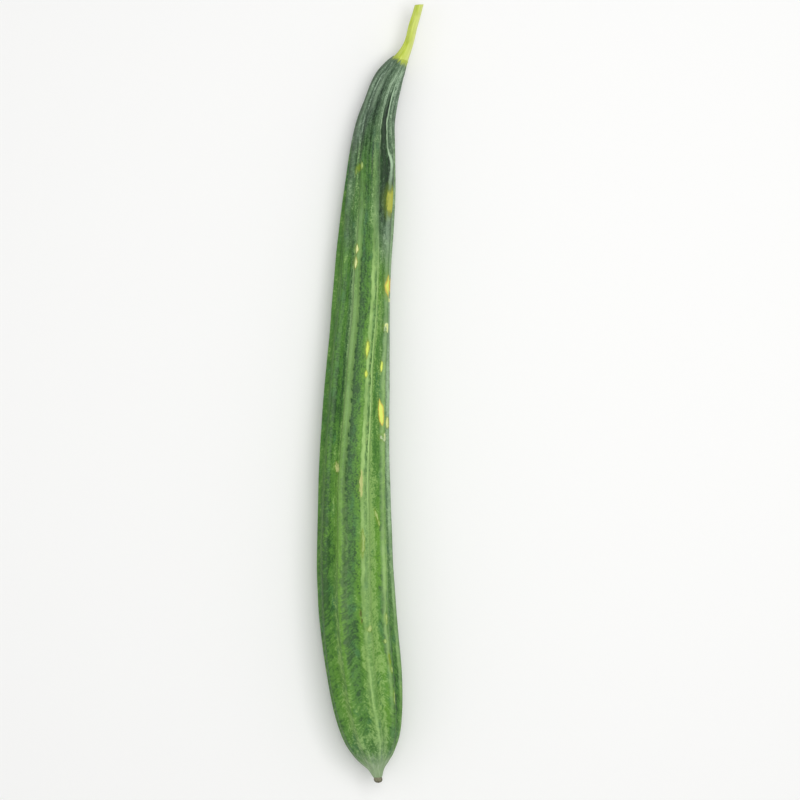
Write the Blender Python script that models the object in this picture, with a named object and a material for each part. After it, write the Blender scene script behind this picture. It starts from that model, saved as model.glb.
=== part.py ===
"""A ridge gourd (angled luffa) with its stalk, lying on its side on the plane z = 0.

The stalk points to +Y and the blossom end to -Y. Distances along the gourd are counted in
millimetres from the foot of the stalk (0) towards the blossom end, and those along the stalk
from the same foot towards its cut end. All outlines are lists of (distance, value) pairs with
a smooth curve through them.
"""

import math

import bmesh
import bpy
from mathutils import Vector

MM = 0.001

# Fruit: outline over the ridges, way of its middle line sideways and height of that line.
FRUIT_LENGTH = 449.6
GIRTH = [
    (0, 4.9), (6, 7.3), (14, 9.3), (30, 11.0), (58, 14.4), (90, 16.6), (150, 18.3), (245, 21.8),
    (320, 24.1), (350, 24.5), (375, 24.2), (395, 23.0), (412, 20.9), (426, 17.4), (436, 12.2),
    (441, 8.2), (444.5, 5.1), (FRUIT_LENGTH, 2.8),
]
BEND = [
    (0, 15.2), (6, 11.4), (13, 7.6), (26, 3.2), (45, -1.3), (90, -4.9), (150, -9.5), (215, -12.4),
    (275, -14.0), (340, -12.1), (390, -7.2), (425, -2.8), (FRUIT_LENGTH, 0.8),
]
LIFT = [
    (0, 15.6), (45, 14.8), (90, 15.5), (150, 18.3), (215, 20.9), (290, 22.6), (350, 22.9),
    (400, 22.6), (FRUIT_LENGTH, 21.4),
]

# Ridges: their height over the valleys, the height of the lower ribs between them, and the
# angle of the first ridge from straight up, counted towards +X.
RIDGES = 10
RIDGE_HEIGHT = [(0, 0.3), (12, 0.9), (30, 1.6), (60, 2.3), (110, 2.5), (250, 2.8), (350, 3.0),
                (410, 2.6), (436, 1.3), (445, 0.4), (FRUIT_LENGTH, 0.2)]
RIB_HEIGHT = [(0, 0.1), (30, 0.6), (90, 0.7), (170, 0.35), (250, 0.0), (FRUIT_LENGTH, 0.0)]
TWIST = [
    (0, 24), (8, 20), (16, 13), (30, 9.5), (60, 12), (90, 17), (120, 24), (150, 27), (195, 22),
    (265, 19), (320, 13.5), (360, 9.5), (390, 9), (FRUIT_LENGTH, 15),
]
RIDGE_DRIFT = {  # degrees by which the upper ridges wander off their even places
    9: [(0, 0), (30, 3), (90, 2.5), (112, -1), (140, -4), (170, -1), (205, -0.5), (237, -5),
        (275, -5), (305, -1.5), (345, 0)],
    0: [(0, 0), (30, 0), (57, 2), (90, 2.5), (122, 4.5), (150, 3), (290, 3), (330, 5)],
    1: [(0, 0), (20, 0), (35, 5), (45, 13), (55, 18), (62, 21), (75, 17.5), (90, 10), (105, 3), (127, 1),
        (145, 5), (165, 8.5), (176, 8), (190, 4), (205, 2), (230, 2), (280, 4)],
    2: [(0, 0), (30, 0), (45, 8), (62, 15), (75, 11), (90, 4), (110, 1), (145, 3), (165, 5), (190, 2),
        (205, 0)],
    3: [(0, 0), (30, 0), (45, 3), (62, 7), (75, 5), (95, 1), (110, 0)],
}
CREST_WIDTH = 0.15
CREST_SHARE = [(0, 0.7), (240, 0.7), (330, 0.45), (400, 0.35), (FRUIT_LENGTH, 0.3)]  # squareness
RIB_WIDTH = 0.1
CREST_SWAY = 1.1
CREST_RISE = 0.22

# The two ridges underneath keep to this angle each side of straight down, and carry the gourd.
FOOT_RIDGES = (4, 5)
FOOT_ANGLE = 18

# Stalk: middle line as (sideways, along, up), and its outline.
STALK_PATH = [
    (15.2, 0.0, 15.6), (17.1, 3.2, 16.0), (19.1, 7.2, 16.5), (20.8, 12.0, 17.0),
    (22.7, 20.0, 17.8), (25.0, 27.5, 18.4), (26.7, 33.6, 18.8),
]
STALK_GIRTH = [(0, 4.8), (2.4, 4.1), (5, 3.6), (9, 3.1), (14, 2.9), (36, 2.85)]
STALK_RIBS = 5
STALK_RIB_HEIGHT = 0.35
STALK_RINGS = 16
STALK_SIDES = 20
CUT_SLANT = 12

# Flower scar: outline of the dry remnant at the tip, from the fruit's end outwards.
SCAR_GIRTH = [(0, 2.55), (0.9, 2.75), (1.9, 2.6), (2.7, 2.0), (3.2, 1.0)]
SCAR_LOBES = 5
SCAR_LOBE_HEIGHT = 0.3
SCAR_SIDES = 20

JOINT_GAP = 0.3
FRUIT_RINGS = 54
RING_CROWDING = 0.7
RIDGE_SAMPLES = (-0.5, -0.33, -0.19, -0.1, 0.0, 0.1, 0.19, 0.33)


def smooth(points, at):
    """The value at a distance on the smooth curve through (distance, value) pairs."""
    last = len(points) - 1
    i = max(k for k in range(last) if k == 0 or points[k][0] <= at)

    def slope(k):
        low, high = max(k - 1, 0), min(k + 1, last)
        return (points[high][1] - points[low][1]) / (points[high][0] - points[low][0])

    (x0, y0), (x1, y1) = points[i], points[i + 1]
    span = x1 - x0
    t = min(max((at - x0) / span, 0.0), 1.0)
    return (
        y0 * (1 + 2 * t) * (1 - t) ** 2
        + slope(i) * span * t * (1 - t) ** 2
        + y1 * t * t * (3 - 2 * t)
        + slope(i + 1) * span * t * t * (t - 1)
    )


def middle(at):
    """The fruit's middle line, in millimetres."""
    return Vector((smooth(BEND, at), -at, smooth(LIFT, at)))


def ring_frame(line, at, step=0.5):
    """The centre of a ring square to a line, and its sideways and upward directions."""
    ahead = (line(at + step) - line(at - step)).normalized()
    side = ahead.cross(Vector((0, 0, 1))).normalized()
    if side.x < 0:
        side = -side
    up = side.cross(ahead).normalized()
    if up.z < 0:
        up = -up
    return line(at), side, up


def ridge_angle(ridge, at):
    """A ridge's angle in degrees from straight up, with its own slight sway."""
    drift = smooth(TWIST, at) - FOOT_ANGLE
    hold = max(0.0, 1 - 0.5 * min(abs(ridge - foot) for foot in FOOT_RIDGES))
    sway = math.sin(at / 23 + 2.4 * ridge) + 0.6 * math.sin(at / 11 + 4.1 * ridge)
    sway *= CREST_SWAY * (1 - hold)
    if ridge in RIDGE_DRIFT:
        sway += smooth(RIDGE_DRIFT[ridge], at)
    return ridge * 360 / RIDGES + FOOT_ANGLE + drift * (1 - hold) + sway


def relief(phase, at):
    """The height across one ridge, from 1 on its flat crest to 0 in the valleys."""
    rounded = 0.5 + 0.5 * math.cos(2 * math.pi * phase)
    flat_top = math.exp(-((phase / CREST_WIDTH) ** 4))
    share = smooth(CREST_SHARE, at)
    return (1 - share) * rounded + share * flat_top


def fruit_radius(ridge, phase, at):
    """The distance of the skin from the middle line."""
    height = relief(phase, at)
    radius = smooth(GIRTH, at) - smooth(RIDGE_HEIGHT, at) * (1 - height)
    rib = math.exp(-(((abs(phase) - 0.5) / RIB_WIDTH) ** 2))
    rise = math.sin(at / 17 + 1.9 * ridge) * height * min(at, FRUIT_LENGTH - at, 40) / 40
    return radius + smooth(RIB_HEIGHT, at) * rib + CREST_RISE * rise


def fruit_ring(at):
    """One closed ring of skin points, with what would sink below the surface set flat on it."""
    centre, side, up = ring_frame(middle, at)
    points = []
    for ridge in range(RIDGES):
        here = ridge_angle(ridge, at)
        before = ridge_angle(ridge - 1, at) if ridge else ridge_angle(RIDGES - 1, at) - 360
        after = ridge_angle(ridge + 1, at) if ridge < RIDGES - 1 else ridge_angle(0, at) + 360
        for phase in RIDGE_SAMPLES:
            reach = after - here if phase > 0 else here - before
            angle = math.radians(here + phase * reach)
            radius = fruit_radius(ridge, phase, at)
            point = centre + radius * (math.sin(angle) * side + math.cos(angle) * up)
            point.z = max(point.z, 0.0)
            points.append(point * MM)
    return points


def ring_distances(length, rings, crowding):
    """Distances of the rings, closer together at both ends."""
    for i in range(rings):
        t = i / (rings - 1)
        yield length * (t - crowding * math.sin(2 * math.pi * t) / (2 * math.pi))


def skin_object(name, rings, material):
    """A closed body through rings of points, with a flat cap on the first and the last ring."""
    mesh = bmesh.new()
    loops = [[mesh.verts.new(point) for point in ring] for ring in rings]
    count = len(loops[0])
    for near, far in zip(loops, loops[1:]):
        for i in range(count):
            j = (i + 1) % count
            mesh.faces.new((near[i], near[j], far[j], far[i]))
    mesh.faces.new(loops[0])
    mesh.faces.new(loops[-1])
    bmesh.ops.recalc_face_normals(mesh, faces=mesh.faces)
    bmesh.ops.triangulate(mesh, faces=[f for f in mesh.faces if len(f.verts) == 4])
    data = bpy.data.meshes.new(name)
    mesh.to_mesh(data)
    mesh.free()
    data.shade_smooth()
    data.set_sharp_from_angle(angle=math.radians(60))
    data.materials.append(material)
    made = bpy.data.objects.new(name, data)
    bpy.context.collection.objects.link(made)
    return made


def plain_material(name, colour, roughness):
    """A Principled material of one colour."""
    material = bpy.data.materials.new(name)
    material.use_nodes = True
    shader = material.node_tree.nodes["Principled BSDF"]
    shader.inputs["Base Color"].default_value = (*colour, 1)
    shader.inputs["Roughness"].default_value = roughness
    shader.inputs["Metallic"].default_value = 0
    material.diffuse_color = (*colour, 1)
    return material


def make_fruit():
    rings = [fruit_ring(at) for at in ring_distances(FRUIT_LENGTH, FRUIT_RINGS, RING_CROWDING)]
    return skin_object("fruit", rings, plain_material("fruit skin", (0.13, 0.26, 0.08), 0.45))


def stalk_line(along):
    """The stalk's middle line, read off by its own height above the foot."""
    sideways = [(p[1], p[0]) for p in STALK_PATH]
    heights = [(p[1], p[2]) for p in STALK_PATH]
    return Vector((smooth(sideways, along), along, smooth(heights, along)))


def make_stalk():
    """The ribbed stalk: square to the fruit at its foot, and cut on a slant at its end."""
    _, foot_side, foot_up = ring_frame(middle, 0)
    foot = middle(-JOINT_GAP)
    top = STALK_PATH[-1][1]
    rings = []
    for i in range(STALK_RINGS):
        t = i / (STALK_RINGS - 1)
        along = top * t
        centre, side, up = ring_frame(stalk_line, along)
        turn = min(t * 4, 1)
        side = foot_side.lerp(side, turn).normalized()
        up = foot_up.lerp(up, turn).normalized()
        if i == 0:
            centre = foot
        radius = smooth(STALK_GIRTH, along)
        slant = math.tan(math.radians(CUT_SLANT)) * max(0.0, t * 3 - 2)
        points = []
        for j in range(STALK_SIDES):
            angle = 2 * math.pi * j / STALK_SIDES
            rib = STALK_RIB_HEIGHT * (math.cos(STALK_RIBS * angle) - 1) / 2
            across = (radius + rib) * math.sin(angle)
            point = centre + across * side + (radius + rib) * math.cos(angle) * up
            point.y += across * slant
            points.append(point * MM)
        rings.append(points)
    return skin_object("stalk", rings, plain_material("stalk", (0.55, 0.62, 0.12), 0.5))


def make_flower_scar():
    """The dry remnant of the flower: a short lobed stub with a rounded end."""
    end, side, up = ring_frame(middle, FRUIT_LENGTH)
    out = (middle(FRUIT_LENGTH) - middle(FRUIT_LENGTH - 1)).normalized()
    rings = []
    for along, radius in SCAR_GIRTH:
        points = []
        for j in range(SCAR_SIDES):
            angle = 2 * math.pi * j / SCAR_SIDES
            lobed = radius - SCAR_LOBE_HEIGHT * (1 - math.cos(SCAR_LOBES * angle)) / 2
            way = math.sin(angle) * side + math.cos(angle) * up
            points.append((end + (JOINT_GAP + along) * out + lobed * way) * MM)
        rings.append(points)
    material = plain_material("dry flower", (0.24, 0.18, 0.09), 0.8)
    return skin_object("flower_scar", rings, material)


def centre_on_origin(pieces):
    """Hangs the pieces on an empty, moved so that the whole lies round the origin."""
    corners = [vertex.co for piece in pieces for vertex in piece.data.vertices]
    middle_x = (min(c.x for c in corners) + max(c.x for c in corners)) / 2
    middle_y = (min(c.y for c in corners) + max(c.y for c in corners)) / 2
    holder = bpy.data.objects.new("gourd", None)
    bpy.context.collection.objects.link(holder)
    holder.location = (-middle_x, -middle_y, 0)
    for piece in pieces:
        piece.parent = holder


def main():
    for old in list(bpy.data.objects):
        bpy.data.objects.remove(old)
    centre_on_origin([make_fruit(), make_stalk(), make_flower_scar()])


main()
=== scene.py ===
import math
import random

import bmesh
import bpy
import numpy as np
from mathutils import Matrix, Vector, noise


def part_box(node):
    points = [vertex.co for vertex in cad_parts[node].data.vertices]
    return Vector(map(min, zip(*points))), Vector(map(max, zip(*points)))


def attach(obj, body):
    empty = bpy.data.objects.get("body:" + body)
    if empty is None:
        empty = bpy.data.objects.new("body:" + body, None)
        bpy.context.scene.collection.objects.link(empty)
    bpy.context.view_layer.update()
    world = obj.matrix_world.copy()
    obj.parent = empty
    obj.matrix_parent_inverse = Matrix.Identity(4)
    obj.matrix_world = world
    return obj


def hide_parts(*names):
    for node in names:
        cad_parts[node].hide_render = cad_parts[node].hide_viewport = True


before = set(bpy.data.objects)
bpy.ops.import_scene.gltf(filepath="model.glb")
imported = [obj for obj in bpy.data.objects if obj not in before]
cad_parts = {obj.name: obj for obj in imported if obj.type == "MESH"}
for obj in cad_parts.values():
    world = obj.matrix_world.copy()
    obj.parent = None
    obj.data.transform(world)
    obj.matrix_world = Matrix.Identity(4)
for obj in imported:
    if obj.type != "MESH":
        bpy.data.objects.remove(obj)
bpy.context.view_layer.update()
mm = 0.001  # the shapes below are given in mm
print("stage 1: frame loaded,", len(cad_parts), "solids")


def smoothCurve(points, at):
    # a smooth line through (place, value) points, read at each of the places asked for
    xs, ys = np.array(points, float).T
    at = np.clip(np.asarray(at, float), xs[0], xs[-1])
    slopes = np.empty(len(xs))
    slopes[1:-1] = (ys[2:] - ys[:-2]) / (xs[2:] - xs[:-2])
    slopes[0] = (ys[1] - ys[0]) / (xs[1] - xs[0])
    slopes[-1] = (ys[-1] - ys[-2]) / (xs[-1] - xs[-2])
    i = np.clip(np.searchsorted(xs, at, side="right") - 1, 0, len(xs) - 2)
    span = xs[i + 1] - xs[i]
    t = (at - xs[i]) / span
    near = ys[i] * (1 + 2 * t) * (1 - t) ** 2 + slopes[i] * span * t * (1 - t) ** 2
    far = ys[i + 1] * t * t * (3 - 2 * t) + slopes[i + 1] * span * t * t * (t - 1)
    return near + far


def unit(vectors):
    return vectors / np.linalg.norm(vectors, axis=-1, keepdims=True)


def ringFrames(lineAt, distances):
    # centre, sideways and upward direction of a ring square to the line at each distance
    step = 0.5
    ahead = unit(lineAt(distances + step) - lineAt(distances - step))
    side = unit(np.cross(ahead, (0, 0, 1)))
    side *= np.where(side[:, :1] < 0, -1, 1)
    up = unit(np.cross(side, ahead))
    up *= np.where(up[:, 2:] < 0, -1, 1)
    return lineAt(distances), side, up


def wrapMap(around, along):
    return np.stack(np.broadcast_arrays(around[None, :], along[:, None]), -1)


def tubePiece(name, rings, wrap, extra=None):
    # rings: (ring, point, xyz) in metres; wrap: turns round and distance along for each point
    ringCount, around = rings.shape[:2]
    verts = rings.reshape(-1, 3)
    faces, corners = [], []
    for r in range(ringCount - 1):
        for a in range(around):
            b = (a + 1) % around
            faces.append((r * around + a, r * around + b, (r + 1) * around + b, (r + 1) * around + a))
            corners += [(r, a), (r, a + 1), (r + 1, a + 1), (r + 1, a)]
    for r in (0, ringCount - 1):
        faces.append(tuple(r * around + a for a in range(around)))
        corners += [(r, a) for a in range(around)]
    mesh = bpy.data.meshes.new(name)
    mesh.from_pydata(verts.tolist(), [], faces)
    ringOf, pointOf = np.array(corners).T
    for mapName, values in [("wrap", wrap)] + list((extra or {}).items()):
        layer = mesh.uv_layers.new(name=mapName)
        layer.data.foreach_set("uv", values[ringOf, pointOf].astype(np.float32).ravel())
    work = bmesh.new()
    work.from_mesh(mesh)
    bmesh.ops.recalc_face_normals(work, faces=work.faces)
    work.to_mesh(mesh)
    work.free()
    mesh.shade_smooth()
    mesh.set_sharp_from_angle(angle=math.radians(50))
    piece = bpy.data.objects.new(name, mesh)
    bpy.context.scene.collection.objects.link(piece)
    return piece


fruitLength = 449.6  # from the foot of the stalk to the tip

# lists give a value at each distance from the foot of the stalk; angles are in degrees
fruitShape = {
    "girth": [  # radius over the crests
        (0, 4.9), (6, 7.3), (14, 9.3), (30, 11.0), (58, 14.4), (90, 16.6), (150, 18.3), (245, 21.8),
        (320, 24.1), (350, 24.5), (375, 24.2), (395, 23.0), (412, 20.9), (426, 17.4), (436, 12.2),
        (441, 8.2), (444.5, 5.1), (fruitLength, 2.8),
    ],
    "bend": [  # how far the middle line runs to the side
        (0, 15.2), (6, 11.4), (13, 7.6), (26, 3.2), (45, -1.3), (90, -4.9), (150, -9.5),
        (215, -12.4), (275, -14.0), (340, -12.1), (390, -7.2), (425, -2.8), (fruitLength, 0.8),
    ],
    "lift": [  # how high it runs over the floor
        (0, 15.6), (45, 14.8), (90, 15.5), (150, 18.3), (215, 20.9), (290, 22.6), (350, 22.9),
        (400, 22.6), (fruitLength, 21.4),
    ],
    "ridges": 10,
    "ridgeHeight": [
        (0, 0.3), (12, 0.9), (30, 1.6), (60, 2.3), (110, 2.5), (250, 2.8), (350, 3.0), (410, 2.6),
        (436, 1.3), (445, 0.4), (fruitLength, 0.2),
    ],
    "ribHeight": [(0, 0.1), (30, 0.6), (90, 0.7), (170, 0.35), (250, 0.0), (fruitLength, 0.0)],
    "twist": [  # how far all ridges turn together
        (0, 24), (8, 20), (16, 13), (30, 9.5), (60, 12), (90, 17), (120, 24), (150, 27), (195, 22),
        (265, 19), (320, 13.5), (360, 9.5), (390, 9), (fruitLength, 15),
    ],
    "drift": {  # how far the upper ridges wander off their even places
        9: [
            (0, 0), (30, 3), (90, 2.5), (112, -1), (140, -4), (170, -1), (205, -0.5), (237, -5),
            (275, -5), (305, -1.5), (345, 0),
        ],
        0: [(0, 0), (30, 0), (57, 2), (90, 2.5), (122, 4.5), (150, 3), (290, 3), (330, 5)],
        1: [
            (0, 0), (20, 0), (35, 5), (45, 13), (55, 18), (62, 21), (75, 17.5), (90, 10), (105, 3),
            (127, 1), (145, 5), (165, 8.5), (176, 8), (190, 4), (205, 2), (230, 2), (280, 4),
        ],
        2: [
            (0, 0), (30, 0), (45, 8), (62, 15), (75, 11), (90, 4), (110, 1), (145, 3), (165, 5),
            (190, 2), (205, 0),
        ],
        3: [(0, 0), (30, 0), (45, 3), (62, 7), (75, 5), (95, 1), (110, 0)],
    },
    # how flat the crests are, from rounded at 0 to flat at 1; widths are shares of a ridge's width
    "crestShare": [(0, 0.7), (240, 0.7), (330, 0.45), (400, 0.35), (fruitLength, 0.3)],
    "crestWidth": 0.15,
    "ribWidth": 0.1,
    "crestSway": 1.1,  # angle of the slow sway of each crest
    "crestRise": 0.22,  # height of its slow rise and fall
    "footRidges": (4, 5),  # the ridges it lies on, which run straight
    "footAngle": 18,
    "kink": 0.3,  # angle of the small kinks along a crest
    # how strongly the veins show
    "veins": [(0, 0), (100, 0.1), (240, 0.2), (300, 0.5), (350, 0.9), (430, 0.8), (fruitLength, 0.3)],
    "groove": 0.28,  # depth of the groove along every other crest
    "grooveWidth": 0.045,
    "lump": 0.22,  # height of the soft unevenness of the skin
    "lumpAcross": 9,
    "lumpAlong": 22,
    "rings": 430,
    "ringCrowding": 0.45,  # how much closer the rings stand at both ends
    "stepsPerRidge": 22,
    "stepCrowding": 0.07,  # how much closer the steps stand at the edges of a crest
}


def fruitLine(at):
    shape = fruitShape
    return np.stack([smoothCurve(shape["bend"], at), -at, smoothCurve(shape["lift"], at)], -1)


def fadeAtEnds(at, reach):
    return np.clip(np.minimum(at, fruitLength - at), 0, reach) / reach


def ridgeAngles(at):
    # the angle of every ridge round the fruit at each distance
    shape = fruitShape
    ridge = np.arange(shape["ridges"])
    foot = np.array(shape["footRidges"])
    hold = np.clip(1 - 0.5 * np.abs(ridge[:, None] - foot).min(1), 0, 1)
    at = at[:, None]
    drift = smoothCurve(shape["twist"], at) - shape["footAngle"]
    sway = np.sin(at / 23 + 2.4 * ridge) + 0.6 * np.sin(at / 11 + 4.1 * ridge)
    kink = np.sin(at / 3.1 + 1.7 * ridge) * np.sin(at / 7.9 + 0.9 * ridge) ** 3
    turn = drift + shape["crestSway"] * sway + shape["kink"] * kink * np.clip(at / 60, 0, 1)
    angles = ridge * 360 / shape["ridges"] + shape["footAngle"] + turn * (1 - hold)
    for number, points in shape["drift"].items():
        angles[:, number] += smoothCurve(points, at[:, 0])
    return angles


def fruitRadius(ridge, phase, at):
    # phase: -0.5 to 0.5 across a ridge, with 0 on its crest
    shape = fruitShape
    rounded = 0.5 + 0.5 * np.cos(2 * np.pi * phase)
    flatTop = np.exp(-((phase / shape["crestWidth"]) ** 4))
    share = smoothCurve(shape["crestShare"], at)
    relief = (1 - share) * rounded + share * flatTop
    ends = fadeAtEnds(at, 40)
    rise = np.sin(at / 17 + 1.9 * ridge) * relief * ends
    rib = np.exp(-(((np.abs(phase) - 0.5) / shape["ribWidth"]) ** 2))
    split = 0.5 + 0.5 * np.cos(np.pi * ridge)
    split = split * (0.55 + 0.45 * np.sin(at / 29 + 1.3 * ridge))
    groove = np.exp(-((phase / shape["grooveWidth"]) ** 2)) * split * ends
    radius = smoothCurve(shape["girth"], at) - smoothCurve(shape["ridgeHeight"], at) * (1 - relief)
    radius = radius + smoothCurve(shape["ribHeight"], at) * rib + shape["crestRise"] * rise
    return radius - shape["groove"] * groove


# soft patches of tone: ridges round, mm along, half width, half length, strength; the dark ones are partly
# the skin's own darker colour and partly painted shade, in the deep valley between the upper ridges of the
# neck and in shadowed stretches of the flanks
skinPatches = {
    "dark": [
        (0.6, 32, 0.3, 22, 1.0), (0.42, 66, 0.34, 34, 1.0), (0.5, 85, 0.32, 20, 0.8),
        (0.72, 78, 0.14, 22, 0.9), (0.16, 72, 0.12, 26, 1.0), (0.86, 230, 0.05, 150, 0.6),
        (0.9, 76, 0.2, 12, 0.7), (1.25, 108, 0.3, 13, 0.9), (1.3, 190, 0.3, 10, 0.5),
        (1.3, 400, 0.4, 30, 0.6), (-0.57, 32, 0.26, 22, 0.65), (-0.55, 60, 0.14, 18, 0.4),
        (-1.0, 50, 0.2, 16, 0.5), (-0.84, 225, 0.09, 100, 0.85), (-0.84, 340, 0.1, 40, 0.7),
        (-0.62, 215, 0.2, 95, 0.45), (-0.38, 188, 0.1, 10, 0.4), (-1.42, 208, 0.13, 34, 0.6),
        (-1.43, 128, 0.12, 24, 0.8), (-0.62, 365, 0.22, 62, 0.4), (0.42, 216, 0.1, 9, 0.5),
        (0.72, 330, 0.16, 24, 0.35), (-2.2, 50, 0.4, 22, 0.6), (-2.2, 330, 0.5, 90, 0.5),
        (-1.85, 215, 0.2, 26, 0.7), (-1.9, 310, 0.25, 40, 0.5), (-0.5, 140, 0.25, 22, 0.3),
        (-2.0, 150, 0.4, 80, 0.2), (-2.1, 262, 0.3, 34, 0.5), (-0.76, 200, 0.08, 90, 0.7),
        (-1.38, 215, 0.07, 60, 0.6), (0.88, 320, 0.08, 60, 0.8), (-0.6, 88, 1.0, 30, 0.22),
        (-0.42, 262, 0.3, 18, 0.4),
        (-1.08, 355, 0.14, 26, 0.3), (-1.4, 172, 0.12, 32, 0.4), (0.7, 418, 0.25, 14, 0.25),
        (0.14, 66, 0.1, 20, 0.8),
    ],
    "pale": [
        (0.25, 16, 0.3, 12, 0.8), (0.1, 34, 0.12, 26, 0.5), (0.9, 14, 0.6, 12, 0.9),
        (-0.3, 80, 0.16, 34, 0.45), (-1.35, 20, 0.3, 14, 0.5), (-1.6, 44, 0.2, 20, 0.7),
        (-1.28, 135, 0.2, 62, 0.9), (-1.2, 168, 0.16, 20, 0.7), (-1.2, 240, 0.22, 34, 0.4),
        (-1.5, 265, 0.25, 24, 0.4), (0.2, 190, 0.16, 75, 0.9), (0.6, 116, 0.2, 14, 0.6),
        (1.95, 190, 0.3, 110, 0.6), (-0.22, 385, 0.1, 32, 0.7), (-1.25, 362, 0.25, 22, 0.5),
        (0.3, 290, 0.2, 40, 0.6), (0.5, 150, 0.2, 20, 0.25),
        (0.3, 350, 0.36, 80, 0.6), (0.5, 395, 0.3, 30, 0.5), (-0.07, 265, 0.1, 26, 0.6),
        (1.2, 250, 0.35, 34, 0.6), (1.2, 310, 0.35, 40, 0.45), (1.1, 32, 0.28, 24, 1.0),
        (-1.3, 395, 0.4, 36, 0.35), (-0.5, 410, 0.5, 20, 0.3),
        (0.0, 429, 5.0, 11, 0.3), (0.22, 256, 0.13, 30, 0.7), (0.18, 322, 0.1, 34, 0.4),
        (0.63, 200, 0.13, 34, 0.5), (-1.62, 100, 0.1, 30, 0.5), (-0.82, 100, 0.08, 14, 0.5),
    ],
    "warm": [
        (-0.33, 225, 0.13, 85, 0.65), (-0.3, 330, 0.12, 50, 0.65), (-1.1, 308, 0.25, 13, 0.8),
        (-1.2, 275, 0.35, 34, 0.6), (-0.93, 338, 0.1, 40, 0.7), (0.4, 128, 0.3, 16, 0.4),
        (0.25, 150, 0.3, 20, 0.4), (0.65, 395, 0.2, 36, 0.6), (-1.4, 390, 0.5, 34, 0.4),
        (0.6, 315, 0.25, 28, 0.6), (-2.2, 290, 0.5, 50, 0.6), (0.15, 375, 0.2, 40, 0.3),
        (0.72, 300, 0.12, 36, 0.5), (-1.0, 312, 0.16, 40, 0.6),
    ],
    "grey": [
        (-2.0, 30, 0.9, 24, 0.9), (1.0, 90, 0.9, 36, 0.9), (0.5, 104, 0.4, 20, 0.4),
        (-2.0, 80, 0.5, 24, 0.6), (-0.5, 92, 0.5, 16, 0.2), (-1.3, 150, 0.22, 60, 0.4),
        (1.3, 175, 0.5, 30, 0.5), (-1.7, 112, 0.3, 10, 0.5), (1.9, 210, 0.3, 130, 0.75),
    ],
}

# strengths along each ridge: its pale band, the line at its left and right edge, the dashes between;
# spread is how far the lines stand off its middle, and near draws the right one closer
# the band and lines are partly the crest's own paler colour and partly painted sheen and highlight
crestLook = {
    9: {
        "band": [
            (0, 0.1), (24, 0.5), (38, 0), (62, 0), (88, 0.5), (115, 0.9), (235, 0.9), (275, 0.5), (320, 0.35),
            (370, 0.15), (440, 0.05),
        ],
        "spread": [(0, 0.15), (265, 0.15), (300, 0.21), (350, 0.21), (380, 0.15), (fruitLength, 0.15)],
    },
    0: {
        "band": [
            (0, 0.1), (50, 0.15), (80, 0.25), (110, 0.6), (160, 0.8), (285, 0.7), (330, 0.7), (400, 0.5),
            (430, 0.3), (445, 0),
        ],
        "left": [
            (0, 0), (40, 0.1), (60, 0.45), (110, 0.4), (130, 0.8), (150, 1), (240, 1), (290, 0.8), (330, 0.7),
            (370, 0.5), (400, 0.6), (425, 0.6), (442, 0.2), (446, 0),
        ],
        "right": [
            (0, 0), (12, 0.9), (40, 0.9), (62, 0.3), (95, 0.1), (130, 0.7), (150, 0.9), (240, 0.9),
            (285, 0.5), (320, 0.2), (360, 0),
        ],
        "dash": [(0, 0), (120, 0), (140, 0.9), (240, 1), (275, 0.5), (320, 0.3), (350, 0)],
        "spread": [(0, 0.15), (300, 0.15), (360, 0.12), (420, 0.03), (fruitLength, 0.03)],
        "near": [(0, 1), (90, 1), (125, 0.5), (300, 0.5), (350, 1), (fruitLength, 1)],
    },
    1: {
        "band": [
            (0, 0), (60, 0), (85, 0.3), (110, 0.4), (150, 0.4), (210, 0.7), (330, 0.6), (400, 0.2),
            (445, 0),
        ],
        "left": [
            (0, 0.2), (14, 1), (50, 1), (66, 0.9), (80, 0.3), (130, 0.3), (190, 0.4), (290, 0.5),
            (380, 0.4), (445, 0),
        ],
        "right": [(0, 0), (20, 0.7), (40, 1), (66, 1), (80, 0), (fruitLength, 0.1)],
        "spread": [
            (0, 0.3), (26, 0.26), (45, 0.3), (55, 0.26), (64, 0.1), (80, 0.15), (160, 0.12),
            (200, 0.1), (370, 0.1), (400, 0.12), (fruitLength, 0.15),
        ],
    },
    7: {
        "band": [(0, 0.1), (30, 0.2), (80, 0.1), (fruitLength, 0.05)],
    },
    8: {
        "band": [(0, 0.1), (30, 0.4), (80, 0.15), (240, 0.1), (300, 0.1), (380, 0.1), (440, 0.05)],
    },
    "other": {
        "band": [(0, 0.1), (60, 0.3), (120, 0.5), (280, 0.5), (420, 0.3), (445, 0)],
        "left": [(0, 0), (60, 0.2), (130, 0.5), (300, 0.5), (400, 0.3), (445, 0)],
        "right": [(0, 0), (130, 0.4), (300, 0.2), (445, 0)],
        "dash": [(0, 0), (120, 0), (160, 0.6), (300, 0.4), (350, 0)],
    },
}

# what a ridge has where its own list says nothing
plainCrest = {
    "left": [(0, 0), (fruitLength, 0)],
    "right": [(0, 0), (fruitLength, 0)],
    "dash": [(0, 0), (fruitLength, 0)],
    "spread": [(0, 0.15), (fruitLength, 0.15)],
    "near": [(0, 1), (fruitLength, 1)],
}


def hiddenPatches():
    # the same kinds of patches on the underside, placed by chance with a fixed seed
    chance = random.Random(7)
    found = {"dark": [], "pale": [], "warm": [], "grey": [(5, 34, 2.6, 30, 0.8)]}
    kinds = (("dark", 0.3, 0.14), ("dark", 0.62, 0.2), ("warm", -0.3, 0.15), ("pale", 0.25, 0.2))
    for ridge in (3, 4, 5, 6):
        for kind, middle, width in kinds:
            for part in (100, 210, 330):
                place = part + chance.uniform(-35, 35)
                reach = chance.uniform(22, 60)
                found[kind].append((ridge + middle, place, width, reach, chance.uniform(0.2, 0.8)))
    return found


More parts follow.
